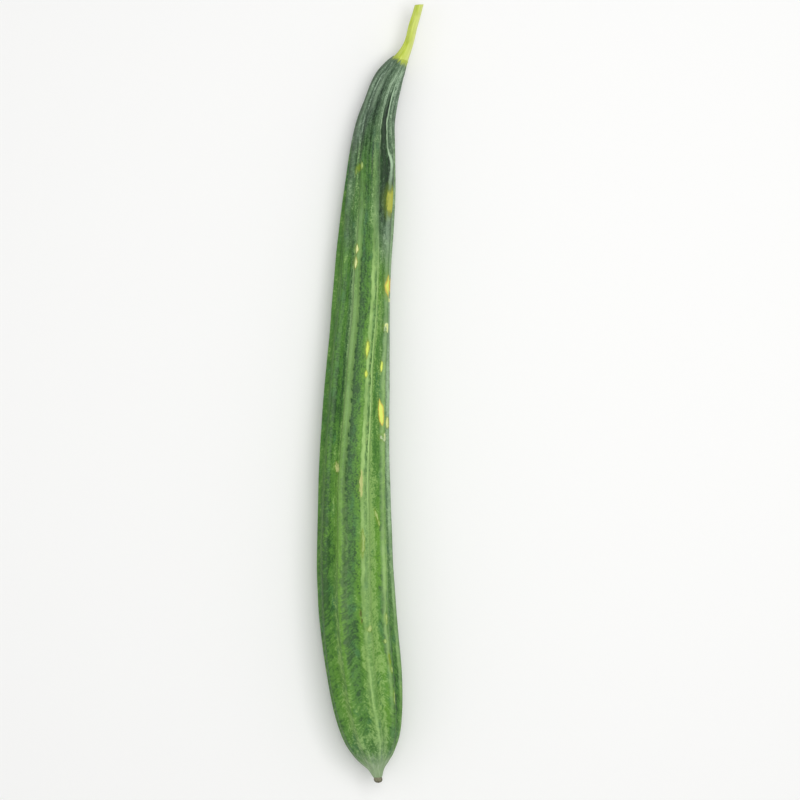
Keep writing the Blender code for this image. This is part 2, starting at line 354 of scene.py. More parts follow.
def patchField(patches, around, along):
    ridges = fruitShape["ridges"]
    kept = np.ones(np.broadcast(around, along).shape)
    for turn, place, width, reach, strength in patches:
        over = (around - turn + ridges / 2) % ridges - ridges / 2
        far = (over / width) ** 2 + ((along - place) / reach) ** 2
        kept = kept * (1 - strength * np.exp(-0.8 * far ** 1.5))
    return 1 - kept


def crestField(part, ridge, along):
    rows = []
    for number in ridge:
        look = plainCrest | crestLook.get(int(number), crestLook["other"])
        rows.append(smoothCurve(look[part], along))
    return np.stack(rows, -1)


def makeFruit():
    shape = fruitShape
    ridges = shape["ridges"]
    ringCount, steps = shape["rings"], shape["stepsPerRidge"]
    t = np.linspace(0, 1, ringCount)
    at = fruitLength * (t - shape["ringCrowding"] * np.sin(2 * np.pi * t) / (2 * np.pi))
    even = np.linspace(-0.5, 0.5, steps, endpoint=False)
    phases = even - shape["stepCrowding"] * np.sin(4 * np.pi * even) / 2
    centre, side, up = ringFrames(fruitLine, at)
    angles = ridgeAngles(at)
    before = np.roll(angles, 1, axis=1)
    before[:, 0] -= 360
    after = np.roll(angles, -1, axis=1)
    after[:, -1] += 360
    ridge = np.arange(ridges)[None, :, None]
    phase = phases[None, None, :]
    distance = at[:, None, None]
    here = angles[:, :, None]
    reach = np.where(phase > 0, after[:, :, None] - here, here - before[:, :, None])
    turn = np.radians(here + phase * reach)
    radius = fruitRadius(ridge, phase, distance)
    outward = np.sin(turn)[..., None] * side[:, None, None, :]
    outward = outward + np.cos(turn)[..., None] * up[:, None, None, :]
    points = centre[:, None, None, :] + radius[..., None] * outward
    wide, long = shape["lumpAcross"], shape["lumpAlong"]
    lumps = [noise.noise(Vector((p[0] / wide, p[1] / long, p[2] / wide))) for p in points.reshape(-1, 3)]
    lumps = np.array(lumps).reshape(radius.shape) * shape["lump"] * fadeAtEnds(distance, 15)
    points += lumps[..., None] * outward
    points = points.reshape(ringCount, -1, 3)
    points[..., 2] = np.maximum(points[..., 2], 0)  # nothing reaches below the floor
    around = np.append((ridge + phase).ravel(), ridges - 0.5)  # the last column closes the wrap
    number = np.append(np.repeat(np.arange(ridges), steps), ridges - 1)
    pitch = 2 * np.pi * smoothCurve(shape["girth"], at) / ridges
    parts = ("band", "left", "right", "dash", "spread", "near")
    crest = {part: crestField(part, number, at) for part in parts}
    rightward = (around - number)[None, :] > 0
    line = np.where(rightward, crest["right"], crest["left"])
    spread = crest["spread"] * np.where(rightward, crest["near"], 1)
    hidden = hiddenPatches()
    patches = {
        kind: patchField(known + hidden[kind], around[None, :], at[:, None])
        for kind, known in skinPatches.items()
    }
    veins = smoothCurve(shape["veins"], at)[:, None] * (1 - 0.6 * crest["band"])
    maps = {
        "size": np.stack([np.broadcast_to(pitch[:, None], line.shape), crest["dash"]], -1),
        "crest": np.stack([crest["band"], line], -1),
        "edge": np.stack([spread, veins], -1),
        "tone": np.stack([patches["dark"], patches["pale"]], -1),
        "tint": np.stack([patches["warm"], patches["grey"]], -1),
    }
    return tubePiece("gourdSkin", points * mm, wrapMap(around, at), maps)


stalkShape = {
    "path": [  # sideways, along and up
        (15.2, 0.0, 15.6), (17.1, 3.2, 16.0), (19.1, 7.2, 16.5), (20.8, 12.0, 17.0),
        (22.7, 20.0, 17.8), (25.0, 27.5, 18.4), (26.7, 33.6, 18.8),
    ],
    "girth": [(0, 4.8), (2.4, 4.1), (5, 3.6), (9, 3.1), (14, 2.9), (36, 2.85)],
    "ribs": 5,
    "ribHeight": 0.35,
    "cutSlant": 12,  # degrees
    "rings": 90,
    "sides": 60,
    "sink": 0.9,  # how far its foot reaches into the fruit
    "fibre": 0.06,
    "cutRings": [  # share of the rim's width, height over the rim
        (0.95, 0.21), (0.86, 0.189), (0.6, 0.126), (0.3, 0.063), (0.05, 0.042),
    ],
}


def stalkLine(along):
    path = stalkShape["path"]
    sideways = smoothCurve([(p[1], p[0]) for p in path], along)
    height = smoothCurve([(p[1], p[2]) for p in path], along)
    return np.stack([sideways, along, height], -1)


def makeStalk():
    shape = stalkShape
    top = shape["path"][-1][1]
    t = np.linspace(0, 1, shape["rings"])
    along = top * t
    centre, side, up = ringFrames(stalkLine, along)
    footSide, footUp = ringFrames(fruitLine, np.array([0.0]))[1:]
    turn = np.clip(t * 4, 0, 1)[:, None]  # the first quarter turns away from the fruit's own rings
    side = unit(footSide * (1 - turn) + side * turn)
    up = unit(footUp * (1 - turn) + up * turn)
    angle = np.linspace(0, 2 * np.pi, shape["sides"], endpoint=False)[None, :]
    rib = shape["ribHeight"] * (np.cos(shape["ribs"] * angle) - 1) / 2
    fibre = np.sin(17 * angle + 0.2 * along[:, None]) + 0.7 * np.sin(31 * angle - 0.15 * along[:, None])
    radius = smoothCurve(shape["girth"], along)[:, None] + rib + shape["fibre"] * fibre
    slant = math.tan(math.radians(shape["cutSlant"])) * np.clip(t * 3 - 2, 0, 1)  # over the last third
    across, height = radius * np.sin(angle), radius * np.cos(angle)
    points = centre[:, None] + across[..., None] * side[:, None] + height[..., None] * up[:, None]
    points[..., 1] += across * slant[:, None]
    out = unit(stalkLine(np.array([top])) - stalkLine(np.array([top - 1.0])))[0]
    inward = unit(fruitLine(np.array([1.0])) - fruitLine(np.array([0.0])))[0]
    sunk = points[0] + inward * shape["sink"]
    rim, middle = points[-1], points[-1].mean(0)
    endRings = [middle + (rim - middle) * share + out * rise for share, rise in shape["cutRings"]]
    points = np.concatenate([sunk[None], points, np.array(endRings)])
    alongAll = np.concatenate([[-shape["sink"]], along, top + np.arange(1, len(endRings) + 1)])
    around = np.linspace(0, 1, shape["sides"] + 1)
    return tubePiece("stalkSkin", points * mm, wrapMap(around, alongAll))


scarShape = {
    "girth": [(0, 2.55), (0.9, 2.75), (1.9, 2.6), (2.7, 2.0), (3.2, 1.0)],
    "lobes": 5,
    "lobeHeight": 0.3,
    "gap": 0.3,  # how far past the tip its first ring stands
    "sink": 0.8,  # how far its foot reaches back into the fruit
    "sides": 60,
    "rings": 26,
    "wrinkle": 0.09,
}


def makeFlowerScar():
    shape = scarShape
    length = shape["girth"][-1][0]
    tip = np.array([fruitLength])
    centre, side, up = ringFrames(fruitLine, tip)
    out = unit(fruitLine(tip) - fruitLine(tip - 1))[0]
    along = np.linspace(0, length, shape["rings"])
    angle = np.linspace(0, 2 * np.pi, shape["sides"], endpoint=False)[None, :]
    lobed = shape["lobeHeight"] * (1 - np.cos(shape["lobes"] * angle)) / 2
    wrinkle = np.sin(13 * angle + along[:, None] * 1.5) * np.sin(along[:, None] * 2.2 + 3 * angle)
    fade = np.clip((length - along[:, None]) / 0.6, 0.2, 1)
    radius = smoothCurve(shape["girth"], along)[:, None] - lobed * fade + shape["wrinkle"] * wrinkle * fade
    way = np.sin(angle)[..., None] * side[0] + np.cos(angle)[..., None] * up[0]
    points = centre[0] + (shape["gap"] + along)[:, None, None] * out + radius[..., None] * way
    sunk = points[0] * 0.98 + points[0].mean(0) * 0.02 - out * shape["sink"]
    points = np.concatenate([sunk[None], points])
    around = np.linspace(0, 1, shape["sides"] + 1)
    alongAll = np.concatenate([[-shape["sink"]], along])
    return tubePiece("flowerScarSkin", points * mm, wrapMap(around, alongAll))


def tone(red, green, blue):
    # a colour by its everyday 0 to 255 values, which are all above 10
    return (*(((value / 255 + 0.055) / 1.055) ** 2.4 for value in (red, green, blue)), 1.0)


def feed(tree, socket, value):
    if isinstance(value, bpy.types.NodeSocket):
        tree.links.new(value, socket)
    else:
        socket.default_value = value


def calc(tree, operation, first, second=0.0, third=0.0, clamp=False):
    node = tree.nodes.new("ShaderNodeMath")
    node.operation = operation
    node.use_clamp = clamp
    for socket, value in zip(node.inputs, (first, second, third)):
        feed(tree, socket, value)
    return node.outputs[0]


def ease(tree, value, low, high):
    # a soft step from 0 at low to 1 at high
    node = tree.nodes.new("ShaderNodeMapRange")
    node.interpolation_type = "SMOOTHSTEP"
    for socket, given in zip(node.inputs, (value, low, high)):
        feed(tree, socket, given)
    return node.outputs[0]


def blend(tree, base, top, amount):
    node = tree.nodes.new("ShaderNodeMix")
    node.data_type = "RGBA"
    feed(tree, node.inputs["Factor"], amount)
    feed(tree, node.inputs[6], base)
    feed(tree, node.inputs[7], top)
    return node.outputs[2]


def useGroup(tree, group, **values):
    node = tree.nodes.new("ShaderNodeGroup")
    node.node_tree = group
    for name, value in values.items():
        feed(tree, node.inputs[name], value)
    return node.outputs


def newGroup(name, inputs, outputs):
    # inputs: names with their usual values, or None for a vector; outputs: names with their kinds
    group = bpy.data.node_groups.new(name, "ShaderNodeTree")
    for title, usual in inputs.items():
        kind = "NodeSocketVector" if usual is None else "NodeSocketFloat"
        socket = group.interface.new_socket(title, in_out="INPUT", socket_type=kind)
        if usual is not None:
            socket.default_value = usual
    for title, kind in outputs.items():
        group.interface.new_socket(title, in_out="OUTPUT", socket_type=kind)
    entry = group.nodes.new("NodeGroupInput")
    leave = group.nodes.new("NodeGroupOutput")
    return group, entry.outputs, leave.inputs


def mapPair(tree, name):
    node = tree.nodes.new("ShaderNodeUVMap")
    node.uv_map = name
    parts = tree.nodes.new("ShaderNodeSeparateXYZ")
    tree.links.new(node.outputs[0], parts.inputs[0])
    return parts.outputs[0], parts.outputs[1]


def newMaterial(name):
    material = bpy.data.materials.new(name)
    material.use_nodes = True
    return material, material.node_tree.nodes["Principled BSDF"]


def addBump(tree, shader, height, depth):
    bump = tree.nodes.new("ShaderNodeBump")
    bump.inputs["Distance"].default_value = depth
    feed(tree, bump.inputs["Height"], height)
    feed(tree, shader.inputs["Normal"], bump.outputs[0])


def makeWrapPlace():
    # turns round and distance along become a point on a plain cylinder, so no pattern has a seam
    group, given, out = newGroup(
        "wrapPlace",
        {"turns": 0.0, "along": 0.0, "radius": 20.0},
        {"place": "NodeSocketVector"},
    )
    angle = calc(group, "MULTIPLY", given["turns"], 2 * math.pi)
    joined = group.nodes.new("ShaderNodeCombineXYZ")
    feed(group, joined.inputs[0], calc(group, "MULTIPLY", calc(group, "COSINE", angle), given["radius"]))
    feed(group, joined.inputs[1], calc(group, "MULTIPLY", calc(group, "SINE", angle), given["radius"]))
    feed(group, joined.inputs[2], given["along"])
    feed(group, out["place"], joined.outputs[0])
    return group


def makeMottle():
    # soft patches of a given size in mm, drawn out along the piece
    group, given, out = newGroup(
        "mottle",
        {
            "place": None, "size": 3.0, "stretch": 2.0, "detail": 2.0,
            "from": 0.45, "to": 0.6, "shift": 0.0,
        },
        {"mask": "NodeSocketFloat"},
    )
    across = calc(group, "DIVIDE", 1.0, given["size"])
    parts = group.nodes.new("ShaderNodeCombineXYZ")
    feed(group, parts.inputs[0], across)
    feed(group, parts.inputs[1], across)
    feed(group, parts.inputs[2], calc(group, "DIVIDE", across, given["stretch"]))
    scaled = group.nodes.new("ShaderNodeVectorMath")
    scaled.operation = "MULTIPLY"
    feed(group, scaled.inputs[0], given["place"])
    feed(group, scaled.inputs[1], parts.outputs[0])
    moved = group.nodes.new("ShaderNodeVectorMath")
    moved.operation = "ADD"
    feed(group, moved.inputs[0], scaled.outputs[0])
    feed(group, moved.inputs[1], given["shift"])
    cloud = group.nodes.new("ShaderNodeTexNoise")
    feed(group, cloud.inputs["Vector"], moved.outputs[0])
    cloud.inputs["Scale"].default_value = 1.0
    feed(group, cloud.inputs["Detail"], given["detail"])
    feed(group, out["mask"], ease(group, cloud.outputs[0], given["from"], given["to"]))
    return group


def makeSpindle():
    # one spindle-shaped mark: its place in ridges round and mm along, its half width and half length;
    # pitch is the width of a ridge in mm, and ragged is a mask that frays its outline
    group, given, out = newGroup(
        "spindleMark",
        {
            "around": 0.0, "along": 0.0, "pitch": 12.0, "markAround": 0.0, "markAlong": 0.0,
            "halfWidth": 1.0, "halfLength": 4.0, "lean": 0.0, "ragged": 0.5, "rough": 0.4,
        },
        {"mark": "NodeSocketFloat", "core": "NodeSocketFloat", "rim": "NodeSocketFloat"},
    )
    down = calc(group, "SUBTRACT", given["along"], given["markAlong"])
    over = calc(group, "SUBTRACT", given["around"], given["markAround"])
    over = calc(group, "MULTIPLY", over, given["pitch"])
    over = calc(group, "SUBTRACT", over, calc(group, "MULTIPLY", down, given["lean"]))
    long = calc(group, "DIVIDE", down, given["halfLength"])
    wide = calc(group, "DIVIDE", over, given["halfWidth"])
    far = calc(group, "ADD", calc(group, "MULTIPLY", long, long), calc(group, "ABSOLUTE", wide))
    uneven = calc(group, "SUBTRACT", given["ragged"], 0.5)
    far = calc(group, "ADD", far, calc(group, "MULTIPLY", uneven, given["rough"]))
    feed(group, out["mark"], ease(group, far, 1.2, 0.8))
    feed(group, out["core"], ease(group, far, 0.95, 0.45))
    haze = calc(group, "ABSOLUTE", calc(group, "MULTIPLY_ADD", wide, 0.5, 0.25))
    haze = calc(group, "MULTIPLY_ADD", long, calc(group, "MULTIPLY", long, 0.5), haze)
    feed(group, out["rim"], ease(group, haze, 1.25, 0.3))
    return group


wrapPlace = makeWrapPlace()
mottle = makeMottle()
spindleMark = makeSpindle()
print("stage 2: shared effects made")


def mottled(tree, place, size, stretch, low, high, shift=0.0, detail=2.0):
    values = {"size": size, "stretch": stretch, "detail": detail, "from": low, "to": high, "shift": shift}
    return useGroup(tree, mottle, place=place, **values)["mask"]


skinLook = {
    "deep": tone(42, 84, 30),
    "green": tone(76, 126, 46),
    "light": tone(136, 176, 92),
    "teal": tone(56, 112, 70),
    "warm": tone(106, 158, 42),
    "greyDeep": tone(28, 46, 32),
    "grey": tone(80, 104, 80),
    "greyLight": tone(150, 174, 148),
    "shade": tone(18, 34, 24),
    "band": tone(130, 168, 96),
    "line": tone(174, 212, 128),
    "greyLine": tone(184, 212, 184),
    "dash": tone(74, 116, 50),
    "bead": tone(150, 176, 100),
    "dot": tone(36, 76, 30),
    "tip": tone(158, 182, 140),
    "scurf": tone(178, 196, 162),
    "stalkGreen": tone(182, 198, 74),
    "yellow": tone(220, 236, 102),
    "cream": tone(222, 232, 150),
    "lemon": tone(244, 252, 176),
    "beadPale": tone(196, 204, 130),
    "haze": tone(122, 150, 44),
    "olive": tone(146, 156, 52),
    "amber": tone(216, 184, 72),
    "gold": tone(170, 176, 66),
    "bronze": tone(118, 132, 48),
    "faint": tone(164, 190, 112),
    "brown": tone(84, 98, 40),
    "roughness": 0.45,
    "gloss": 0.32,
    "patterns": {  # size, stretch along the fruit, low and high edge, shift and, where it isn't 2, detail
        "stray": (9.0, 1.0, 0.2, 0.8),
        "cloud": (9.0, 2.6, 0.3, 0.7, 1.0),
        "small": (2.2, 2.0, 0.2, 0.8, 9.0, 1.0),
        "fine": (1.0, 1.0, 0.25, 0.75, 15.0, 1.0),
        "vein": (6.0, 0.4, 0.3, 0.48, 57.0, 0.0),
        "veinHeart": (6.0, 0.4, 0.52, 0.7, 57.0, 0.0),
        "blot": (3.4, 0.6, 0.4, 0.8, 63.0, 0.0),
        "teal": (6.0, 2.0, 0.52, 0.68, 21.0),
        "wobble": (2.4, 2.2, 0.2, 0.8, 5.0),
        "wear": (7.0, 3.0, 0.35, 0.6, 83.0),
        "dash": (1.7, 2.2, 0.46, 0.54, 97.0),
        "bead": (2.2, 1.6, 0.54, 0.62, 101.0),
        "notch": (1.9, 1.6, 0.48, 0.58, 71.0),
        "foldShade": (5.0, 9.0, 0.35, 0.6, 103.0),
        "tongue": (3.4, 3.0, 0.3, 0.7, 113.0),
        "scurf": (2.0, 2.5, 0.5, 0.62, 127.0),
        "ragged": (1.4, 2.5, 0.3, 0.7, 131.0),
        "pore": (1.1, 1.4, 0.3, 0.7, 139.0, 3.0),
    },
    "amounts": {  # how strongly each effect shows
        "neckGrey": 0.9, "tipGrey": 0.3,
        "pale": 0.5, "dark": 0.5, "cloud": 0.22, "small": 0.34, "fine": 0.42, "smoothed": 0.45,
        "vein": 0.28, "veinGround": 0.15, "blot": 0.14,
        "warm": 0.9, "teal": 0.6, "shade": 0.9,
        "wobble": 0.06, "wear": 0.45,
        "band": 0.8, "bandGrey": 0.8, "line": 0.9, "lineGrey": 0.9, "dash": 0.9, "bead": 0.5,
        "foldShade": 0.65, "collar": 0.75, "scurf": 0.5,
        "markHaze": 0.4, "markBorder": 0.85,
    },
    "along": {  # where each change of tone begins and is full, from the foot of the stalk
        "neck": (84.0, 20.0),
        "tipward": (405.0, 445.0),
        "foldFoot": (8.0, 20.0),
        "foldEnd": (95.0, 60.0),
        "stalkFoot": (1.8, -1.2),
        "collar": (431.0, 445.0),
        "scurf": (425.0, 444.0),
    },
    "across": {  # the same off the middle of each mark, in shares of a ridge's width
        "band": (0.11, 0.0),
        "line": (0.09, 0.015),
        "gap": (0.075, 0.025),
        "notch": (0.09, 0.02),
        "foldShade": (0.09, 0.03),
    },
    "bandReach": 0.15,  # least half width of a band, in shares of a ridge's width like the next two
    "notchAt": 0.3,
    "foldAt": 0.33,
    "veinLean": -0.17,
    "veinStray": 3.0,
    "tongueLength": 2.0,
    "relief": {"vein": 0.12, "pore": 0.1, "notch": 0.12, "line": 0.12, "dash": 0.1},
}

# tone of the border and of the core of each kind of mark
markTones = {
    "yellow": ("olive", "yellow"),
    "amber": ("amber", "yellow"),
    "orange": ("amber", "amber"),
    "cream": ("olive", "cream"),
    "white": ("scurf", "cream"),
    "lemon": ("olive", "lemon"),
    "beige": ("beadPale", "beadPale"),
    "haze": ("haze", "haze"),
    "gold": ("bronze", "gold"),
    "faint": ("haze", "faint"),
    "brown": ("brown", "brown"),
}

# ridges round, mm along, half width, half length, lean, raggedness, kind; the white mark at 236.5 mm on ridge
# 1 is a painted highlight
skinMarks = [
    (0.92, 89.0, 2.6, 9.4, 0.0, 0.5, "gold"), (1.0, 142.0, 1.9, 7.6, 0.0, 0.3, "amber"),
    (1.93, 141.0, 1.0, 5.4, 0.0, 0.4, "orange"), (-1.1, 129.4, 1.6, 4.4, 0.0, 0.3, "lemon"),
    (-1.1, 120.8, 1.4, 3.4, 0.0, 0.3, "lemon"), (-1.55, 71.5, 0.9, 3.0, 0.0, 0.5, "faint"),
    (-1.02, 68.5, 0.7, 2.6, 0.0, 0.5, "faint"), (-1.3, 69.5, 1.6, 2.6, 0.0, 0.6, "haze"),
    (-0.2, 182.4, 1.0, 6.2, 0.0, 0.5, "yellow"), (-0.18, 198.0, 0.7, 2.8, 0.0, 0.5, "yellow"),
    (0.82, 192.6, 0.7, 3.8, 0.0, 0.5, "yellow"), (0.83, 221.0, 1.4, 8.6, 0.08, 0.3, "amber"),
    (1.84, 227.0, 1.2, 3.8, 0.0, 0.5, "cream"), (1.0, 236.5, 1.8, 2.6, 0.0, 1.1, "white"),
    (-0.17, 266.0, 0.9, 8.0, 0.0, 0.9, "beige"), (0.66, 287.0, 0.9, 5.4, 0.3, 1.0, "faint"),
    (-0.25, 346.0, 0.6, 2.6, 0.0, 0.8, "brown"), (-0.23, 350.8, 0.5, 1.8, 0.0, 0.8, "brown"),
    (0.06, 356.0, 1.4, 1.9, 0.0, 1.5, "faint"), (0.83, 365.0, 0.7, 1.4, 0.0, 0.6, "faint"),
    (1.86, 150.0, 0.9, 1.4, 0.0, 0.8, "white"), (0.98, 168.0, 1.7, 2.8, 0.0, 1.5, "white"),
    (-1.3, 256.0, 2.0, 3.4, 0.2, 1.5, "beige"), (-0.14, 303.0, 0.9, 8.0, 0.0, 0.9, "faint"),
    (0.95, 351.0, 0.8, 3.4, 0.0, 0.9, "faint"), (0.92, 377.0, 0.6, 5.0, 0.0, 1.1, "haze"),
    (0.98, 383.0, 0.7, 2.2, 0.0, 0.9, "faint"), (1.0, 400.0, 0.6, 4.0, 0.0, 1.0, "faint"),
    (3.20, 112.0, 0.9, 4.6, 0.0, 0.5, "yellow"), (2.84, 208.0, 1.2, 5.4, 0.0, 0.5, "yellow"),
    (5.22, 166.0, 1.0, 4.4, 0.0, 0.5, "yellow"), (6.85, 240.0, 1.1, 6.0, 0.0, 0.5, "yellow"),
    (6.18, 92.0, 0.8, 3.4, 0.0, 0.5, "yellow"), (4.83, 301.0, 0.9, 4.0, 0.1, 0.5, "yellow"),
    (3.80, 178.0, 0.9, 4.2, 0.0, 0.5, "yellow"),
]


def skinMaterial():
    look, amounts, relief = skinLook, skinLook["amounts"], skinLook["relief"]
    material, shader = newMaterial("ridge gourd skin")
    tree = material.node_tree
    shader.inputs["Specular IOR Level"].default_value = look["gloss"]
    around, along = mapPair(tree, "wrap")
    pitch, dashes = mapPair(tree, "size")
    bandShare, lineShare = mapPair(tree, "crest")
    spread, veined = mapPair(tree, "edge")
    dark, pale = mapPair(tree, "tone")
    warm, grey = mapPair(tree, "tint")
    turns = calc(tree, "DIVIDE", around, fruitShape["ridges"])
    place = useGroup(tree, wrapPlace, turns=turns, along=along)["place"]

    def times(*values):
        product = values[0]
        for value in values[1:]:
            product = calc(tree, "MULTIPLY", product, value)
        return product

    def patches(name, where=place):
        return mottled(tree, where, *look["patterns"][name])

    def swung(value, amount, middle=0.0):
        # a mask from 0 to 1 becomes a swing about the middle
        return calc(tree, "MULTIPLY_ADD", value, amount, middle - amount / 2)

    def alongEase(name, value=along):
        return ease(tree, value, *look["along"][name])

    def acrossEase(name, value, line=0.0):
        return ease(tree, calc(tree, "ABSOLUTE", calc(tree, "SUBTRACT", value, line)), *look["across"][name])

    # the veins lean up from the hollows to the crests and stray a little
    phase = calc(tree, "SUBTRACT", around, calc(tree, "ROUND", around))
    swing = calc(tree, "COSINE", calc(tree, "MULTIPLY", phase, 2 * math.pi))
    raised = calc(tree, "MULTIPLY_ADD", times(swing, pitch), look["veinLean"], along)
    raised = calc(tree, "MULTIPLY_ADD", patches("stray"), look["veinStray"], raised)
    leaning = useGroup(tree, wrapPlace, turns=turns, along=raised)["place"]

    # the neck and the blossom end have a waxy grey bloom
    neck = alongEase("neck")
    greyness = times(neck, amounts["neckGrey"])
    greyness = calc(tree, "MULTIPLY_ADD", alongEase("tipward"), amounts["tipGrey"], greyness)
    greyness = calc(tree, "ADD", greyness, grey, clamp=True)

    # broad tones: from deep through green to light, each in a green and a waxy grey kind; the dark patches
    # carry painted shade as well as darker skin
    small = patches("small")
    level = calc(tree, "SUBTRACT", times(pale, amounts["pale"]), times(dark, amounts["dark"]))
    level = calc(tree, "ADD", level, swung(patches("cloud"), amounts["cloud"], 0.5))
    level = calc(tree, "ADD", level, swung(small, amounts["small"]))
    smoothed = calc(tree, "MULTIPLY_ADD", veined, -amounts["smoothed"], 1.0)
    level = calc(tree, "ADD", level, times(swung(patches("fine"), amounts["fine"]), smoothed))
    vein = times(patches("vein", leaning), calc(tree, "SUBTRACT", 1.0, patches("veinHeart", leaning)))
    veinLevel = calc(tree, "MULTIPLY_ADD", vein, amounts["vein"], -amounts["veinGround"])
    level = calc(tree, "ADD", level, times(veined, veinLevel))
    blot = times(veined, patches("blot", leaning), amounts["blot"])
    level = calc(tree, "SUBTRACT", level, blot, clamp=True)
    low = ease(tree, level, 0.5, 0.0)
    high = ease(tree, level, 0.5, 1.0)
    green = blend(tree, look["green"], look["warm"], times(warm, amounts["warm"]))
    teal = times(patches("teal"), amounts["teal"], calc(tree, "SUBTRACT", 1.0, warm))
    green = blend(tree, green, look["teal"], teal)
    green = blend(tree, blend(tree, green, look["deep"], low), look["light"], high)
    waxy = blend(tree, blend(tree, look["grey"], look["greyDeep"], low), look["greyLight"], high)
    colour = blend(tree, green, waxy, greyness)
    shade = times(ease(tree, dark, 0.85, 1.0), neck, amounts["shade"])
    colour = blend(tree, colour, look["shade"], shade)

    # the crests: a pale band with a fine line along each edge, partly the crest's own paler colour and partly
    # painted sheen and highlight
    off = calc(tree, "ADD", phase, swung(patches("wobble"), amounts["wobble"]))
    middle = calc(tree, "ABSOLUTE", off)
    worn = calc(tree, "MULTIPLY_ADD", patches("wear"), amounts["wear"], 1.0 - amounts["wear"])
    reach = calc(tree, "MAXIMUM", spread, look["bandReach"])
    band = ease(tree, calc(tree, "SUBTRACT", middle, reach), *look["across"]["band"])
    band = times(band, bandShare, worn)
    bandTone = blend(tree, look["band"], look["greyLight"], times(greyness, amounts["bandGrey"]))
    colour = blend(tree, colour, bandTone, times(band, amounts["band"]))
    line = times(acrossEase("line", middle, spread), lineShare, worn)
    lineTone = blend(tree, look["line"], look["greyLine"], times(greyness, amounts["lineGrey"]))
    colour = blend(tree, colour, lineTone, times(line, amounts["line"]))
    gap = acrossEase("gap", off, -0.03)
    dash = times(gap, dashes, patches("dash"))
    bead = times(gap, dashes, patches("bead"))
    colour = blend(tree, colour, look["dash"], times(dash, amounts["dash"]))
    colour = blend(tree, colour, look["bead"], times(bead, amounts["bead"]))

    # dark notches beside the crests, mostly where the skin is dark and has no veins
    aside = calc(tree, "ABSOLUTE", calc(tree, "ADD", off, 0.08))
    notch = times(
        acrossEase("notch", aside, look["notchAt"]), patches("notch"),
        calc(tree, "MULTIPLY_ADD", dark, 1.1, 0.1), calc(tree, "MULTIPLY_ADD", veined, -0.8, 1.0),
    )
    colour = blend(tree, colour, look["dot"], notch)

    # painted shade: the narrow folds between the ribs of the neck are darkened where shade falls in them
    foldShade = times(
        acrossEase("foldShade", middle, look["foldAt"]), alongEase("foldEnd"), alongEase("foldFoot"),
        patches("foldShade"),
    )
    colour = blend(tree, colour, look["greyDeep"], times(foldShade, amounts["foldShade"]))

    # the foot of the stalk runs out in short tongues over the shoulder
    tongue = times(patches("tongue"), look["tongueLength"])
    tongue = alongEase("stalkFoot", calc(tree, "SUBTRACT", along, tongue))
    colour = blend(tree, colour, look["stalkGreen"], tongue)

    # the blossom end pales into its collar
    colour = blend(tree, colour, look["tip"], times(alongEase("collar"), amounts["collar"]))
    scurf = times(patches("scurf"), alongEase("scurf"))
    colour = blend(tree, colour, look["scurf"], times(scurf, amounts["scurf"]))

    # the marks, each with a faint haze round it
    ragged = patches("ragged")
    for markAround, markAlong, halfWidth, halfLength, lean, rough, kind in skinMarks:
        turn = (markAround + 0.5) % fruitShape["ridges"] - 0.5
        mark = useGroup(
            tree, spindleMark, around=around, along=along, pitch=pitch, markAround=turn,
            markAlong=markAlong, halfWidth=halfWidth, halfLength=halfLength, lean=lean, ragged=ragged,
            rough=rough,
        )
        border, core = markTones[kind]
        colour = blend(tree, colour, look["haze"], times(mark["rim"], amounts["markHaze"]))
        colour = blend(tree, colour, look[border], times(mark["mark"], amounts["markBorder"]))
        colour = blend(tree, colour, look[core], mark["core"])

    feed(tree, shader.inputs["Base Color"], colour)
    rough = calc(tree, "MULTIPLY_ADD", small, 0.1, look["roughness"])
    feed(tree, shader.inputs["Roughness"], calc(tree, "MULTIPLY_ADD", scurf, 0.15, rough))
    pore = times(patches("pore"), relief["pore"])
    height = calc(tree, "MULTIPLY_ADD", times(vein, veined), relief["vein"], pore)
    height = calc(tree, "SUBTRACT", height, times(notch, relief["notch"]))
    height = calc(tree, "ADD", height, times(line, relief["line"]))
    height = calc(tree, "SUBTRACT", height, times(dash, relief["dash"]))
    addBump(tree, shader, height, mm)
    return material


stalkLook = {
    "green": tone(194, 212, 68),
    "pale": tone(224, 230, 146),
    "olive": tone(160, 178, 48),
    "cut": tone(214, 216, 160),
    "roughness": 0.5,
    "radius": 3.0,
    "fibres": (0.8, 9.0, 0.38, 0.62),  # size, stretch, low and high edge, shift
    "broad": (2.6, 3.0, 0.4, 0.65, 7.0),
    "cutAt": (33.4, 34.4),  # where the tone of the cut end begins and is full
    "relief": 0.1,
}


def stalkMaterial():
    look = stalkLook
    material, shader = newMaterial("fresh stalk")
    tree = material.node_tree
    turns, along = mapPair(tree, "wrap")
    place = useGroup(tree, wrapPlace, turns=turns, along=along, radius=look["radius"])["place"]
    fibres = mottled(tree, place, *look["fibres"])
    broad = mottled(tree, place, *look["broad"])
    # painted light: the stalk's right side is blended towards the pale tone, as if lit from there
    across = calc(tree, "SINE", calc(tree, "MULTIPLY", turns, 2 * math.pi))
    colour = blend(tree, look["green"], look["pale"], calc(tree, "MULTIPLY", fibres, 0.4))
    colour = blend(tree, colour, look["olive"], calc(tree, "MULTIPLY", broad, 0.45))
    colour = blend(tree, colour, look["pale"], calc(tree, "MULTIPLY", ease(tree, across, 0.1, 0.9), 0.6))
    colour = blend(tree, colour, look["cut"], ease(tree, along, *look["cutAt"]))
    feed(tree, shader.inputs["Base Color"], colour)
    feed(tree, shader.inputs["Roughness"], calc(tree, "MULTIPLY_ADD", fibres, 0.1, look["roughness"]))
    addBump(tree, shader, fibres, look["relief"] * mm)
    return material


scarLook = {
    "dry": tone(126, 124, 100),
    "dark": tone(84, 80, 60),
    "pale": tone(160, 160, 130),
    "roughness": 0.85,
    "radius": 2.6,
    "fibres": (0.5, 3.0, 0.4, 0.6),
    "broad": (1.6, 1.5, 0.4, 0.6, 3.0),
    "endAt": (1.2, 3.0),  # where the dark end begins and is full
    "relief": 0.15,
}


